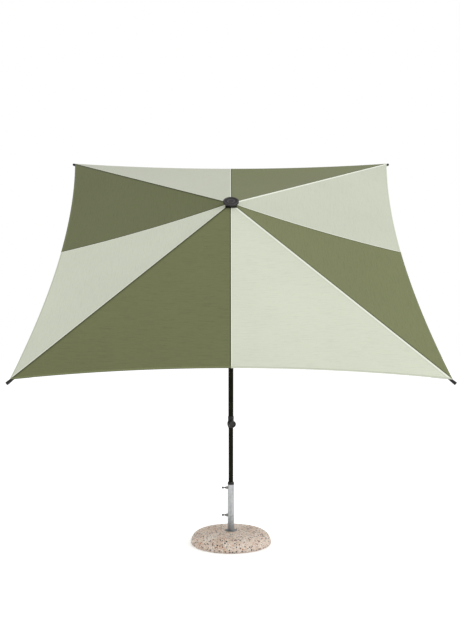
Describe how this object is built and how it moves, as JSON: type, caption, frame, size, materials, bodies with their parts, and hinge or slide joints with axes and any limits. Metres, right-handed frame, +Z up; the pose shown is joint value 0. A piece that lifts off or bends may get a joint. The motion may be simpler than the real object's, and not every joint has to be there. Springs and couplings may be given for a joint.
{
  "type": "patio umbrella with base",
  "caption": "Square tilting parasol with alternating dark and pale fabric panels on a telescoping mast, in a round terrazzo base with a steel socket tube.",
  "frame": {"origin": "middle of the base's underside, on the ground", "axes": "+Z up along the pole, -Y the way the canopy leans, +X to the right seen from -Y"},
  "size_m": [1.9596, 1.5007, 2.2276],
  "materials": {
    "terrazzo": "washed aggregate",
    "galvanised_steel": "galvanised",
    "painted_steel": "satin powder coat",
    "black_plastic": "moulded, fine grain",
    "finial_plastic": "satin moulded",
    "dark_fabric": "slub weave, dark olive",
    "pale_fabric": "slub weave, pale sage"
  },
  "bodies": {
    "base": {"terrazzo_base": "terrazzo", "socket_tube": "galvanised_steel", "tube_flange": "galvanised_steel", "socket_nuts": "galvanised_steel", "reducer_bush": "black_plastic"},
    "thumb_upper": {"thumb_screw_upper": "galvanised_steel"},
    "thumb_lower": {"thumb_screw_lower": "galvanised_steel"},
    "pole": {"lower_pole": "painted_steel", "pole_foot": "black_plastic", "pole_guide": "black_plastic"},
    "mast": {"mast_tube": "painted_steel", "clamp_sleeve": "black_plastic", "tilt_fork": "black_plastic", "tilt_pin": "galvanised_steel", "tilt_spring": "galvanised_steel"},
    "knob": {"height_knob": "black_plastic", "knob_screw": "galvanised_steel"},
    "button": {"tilt_button": "black_plastic"},
    "canopy_mast": {"tilt_head": "black_plastic", "upper_mast": "painted_steel", "crown": "black_plastic", "crown_pins": "galvanised_steel", "finial": "finial_plastic", "finial_screw": "galvanised_steel"},
    "runner": {"runner": "black_plastic"},
    "runner_knob": {"runner_knob": "black_plastic"},
    "rib_1": {"rib_1": "painted_steel", "rib_cap_1": "black_plastic", "rib_bracket_1": "black_plastic", "strut_pin_1": "galvanised_steel", "canopy_panel_8": "pale_fabric", "canopy_panel_1": "dark_fabric"},
    "strut_1": {"strut_1": "painted_steel"},
    "rib_2": {"rib_2": "painted_steel", "rib_cap_2": "black_plastic", "rib_bracket_2": "black_plastic", "strut_pin_2": "galvanised_steel", "canopy_panel_2": "pale_fabric", "canopy_panel_3": "dark_fabric"},
    "strut_2": {"strut_2": "painted_steel"},
    "rib_3": {"rib_3": "painted_steel", "rib_cap_3": "black_plastic", "rib_bracket_3": "black_plastic", "strut_pin_3": "galvanised_steel", "canopy_panel_4": "pale_fabric", "canopy_panel_5": "dark_fabric"},
    "strut_3": {"strut_3": "painted_steel"},
    "rib_4": {"rib_4": "painted_steel", "rib_cap_4": "black_plastic", "rib_bracket_4": "black_plastic", "strut_pin_4": "galvanised_steel", "canopy_panel_6": "pale_fabric", "canopy_panel_7": "dark_fabric"},
    "strut_4": {"strut_4": "painted_steel"}
  },
  "joints": [
    {"name": "pole_turn", "type": "hinge", "parent": "base", "child": "pole", "pos_m": [0, 0, 0.2], "axis": [0, 0, 1], "continuous": true},
    {"name": "upper_screw_turn", "type": "hinge", "parent": "base", "child": "thumb_upper", "pos_m": [-0.03, 0, 0.311], "axis": [-1, 0, 0], "range_deg": [0, 1080]},
    {"name": "lower_screw_turn", "type": "hinge", "parent": "base", "child": "thumb_lower", "pos_m": [-0.03, 0, 0.158], "axis": [-1, 0, 0], "range_deg": [0, 1080]},
    {"name": "mast_height", "type": "slide", "parent": "pole", "child": "mast", "axis": [0, 0, 1], "range_m": [-0.2, 0.2]},
    {"name": "height_knob_turn", "type": "hinge", "parent": "mast", "child": "knob", "pos_m": [0.00518, -0.01932, 0.67], "axis": [0.2588, -0.9659, 0], "range_deg": [0, 720]},
    {"name": "tilt_button_press", "type": "slide", "parent": "mast", "child": "button", "axis": [-1, 0, 0], "range_m": [0, 0.003], "stiffness_N_per_m": 800, "springref_m": -0.001, "deforming": ["tilt_spring"]},
    {"name": "tilt", "type": "hinge", "parent": "mast", "child": "canopy_mast", "pos_m": [0, 0, 1.247], "axis": [1, 0, 0], "range_deg": [-40.2, 0]},
    {"name": "runner_slide", "type": "slide", "parent": "canopy_mast", "child": "runner", "axis": [0, -0.6455, 0.7638], "range_m": [-0.52153, 0]},
    {"name": "runner_knob_turn", "type": "hinge", "parent": "runner", "child": "runner_knob", "pos_m": [0, -0.42487, 1.68005], "axis": [0, -0.7638, -0.6455], "range_deg": [0, 720]},
    {"name": "rib_1_fold", "type": "hinge", "parent": "canopy_mast", "child": "rib_1", "pos_m": [-0.02121, -0.5003, 1.80615], "axis": [0.7071, -0.5401, -0.4564], "range_deg": [0, 71.5], "deforming": ["canopy_panel_8", "canopy_panel_1"]},
    {"name": "rib_2_fold", "type": "hinge", "parent": "canopy_mast", "child": "rib_2", "pos_m": [0.02121, -0.5003, 1.80615], "axis": [0.7071, 0.5401, 0.4564], "range_deg": [0, 71.5], "deforming": ["canopy_panel_2", "canopy_panel_3"]},
    {"name": "rib_3_fold", "type": "hinge", "parent": "canopy_mast", "child": "rib_3", "pos_m": [0.02121, -0.46789, 1.83354], "axis": [-0.7071, 0.5401, 0.4564], "range_deg": [0, 71.5], "deforming": ["canopy_panel_4", "canopy_panel_5"]},
    {"name": "rib_4_fold", "type": "hinge", "parent": "canopy_mast", "child": "rib_4", "pos_m": [-0.02121, -0.46789, 1.83354], "axis": [-0.7071, -0.5401, -0.4564], "range_deg": [0, 71.5], "deforming": ["canopy_panel_6", "canopy_panel_7"]},
    {"name": "strut_1_fold", "type": "hinge", "parent": "rib_1", "child": "strut_1", "pos_m": [-0.25248, -0.63014, 1.60151], "axis": [0.7071, -0.5401, -0.4564], "range_deg": [-143, 0]},
    {"name": "strut_2_fold", "type": "hinge", "parent": "rib_2", "child": "strut_2", "pos_m": [0.25248, -0.63014, 1.60151], "axis": [0.7071, 0.5401, 0.4564], "range_deg": [-143, 0]},
    {"name": "strut_3_fold", "type": "hinge", "parent": "rib_3", "child": "strut_3", "pos_m": [0.25248, -0.24445, 1.92744], "axis": [-0.7071, 0.5401, 0.4564], "range_deg": [-143, 0]},
    {"name": "strut_4_fold", "type": "hinge", "parent": "rib_4", "child": "strut_4", "pos_m": [-0.25248, -0.24445, 1.92744], "axis": [-0.7071, -0.5401, -0.4564], "range_deg": [-143, 0]}
  ],
  "couplings": [
    {"joint": "runner_slide", "follows": "rib_1_fold", "m_per_rad": -0.41776},
    {"joint": "rib_2_fold", "follows": "rib_1_fold", "ratio": 1},
    {"joint": "rib_3_fold", "follows": "rib_1_fold", "ratio": 1},
    {"joint": "rib_4_fold", "follows": "rib_1_fold", "ratio": 1},
    {"joint": "strut_1_fold", "follows": "rib_1_fold", "ratio": -2},
    {"joint": "strut_2_fold", "follows": "rib_1_fold", "ratio": -2},
    {"joint": "strut_3_fold", "follows": "rib_1_fold", "ratio": -2},
    {"joint": "strut_4_fold", "follows": "rib_1_fold", "ratio": -2}
  ]
}
